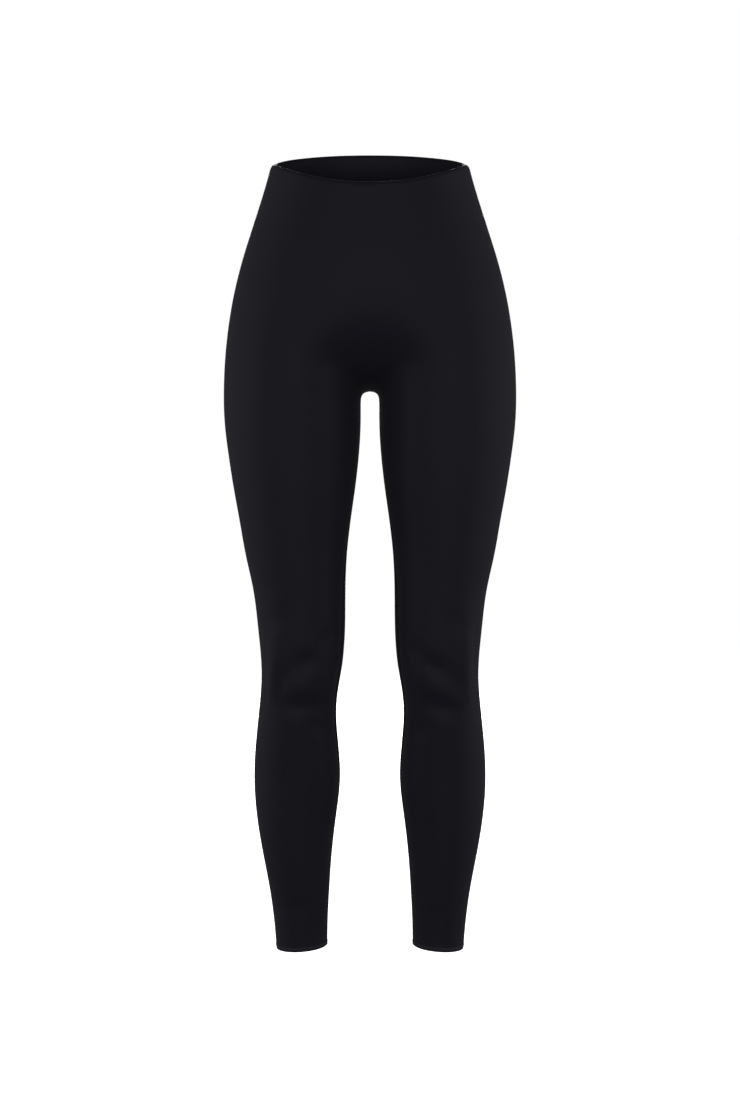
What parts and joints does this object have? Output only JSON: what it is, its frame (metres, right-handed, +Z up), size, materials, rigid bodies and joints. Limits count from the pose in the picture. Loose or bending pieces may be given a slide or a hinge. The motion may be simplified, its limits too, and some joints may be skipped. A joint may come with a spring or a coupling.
{
  "type": "leggings",
  "caption": "Full-length, high-waisted plain knit leggings in the hollow round shape they have when worn, with a wide waistband and narrow ankle hems.",
  "frame": {"origin": "middle of the waist opening, at the mean height of its rim, where the wearer's waist holds the leggings up", "axes": "+Z up the wearer's body, -Y out of the front, +X to the wearer's left"},
  "size_m": [0.3462, 0.2139, 0.9496],
  "materials": {
    "leg_knit": "smooth black stretch knit with a soft satin sheen",
    "waistband_knit": "the same black stretch knit, in two layers",
    "sewing_thread": "black textured polyester thread"
  },
  "bodies": {
    "root": {"waistband_front": "waistband_knit", "waistband_back": "waistband_knit", "front_panel": "leg_knit", "back_panel_l": "leg_knit", "back_panel_r": "leg_knit"}
  },
  "joints": []
}
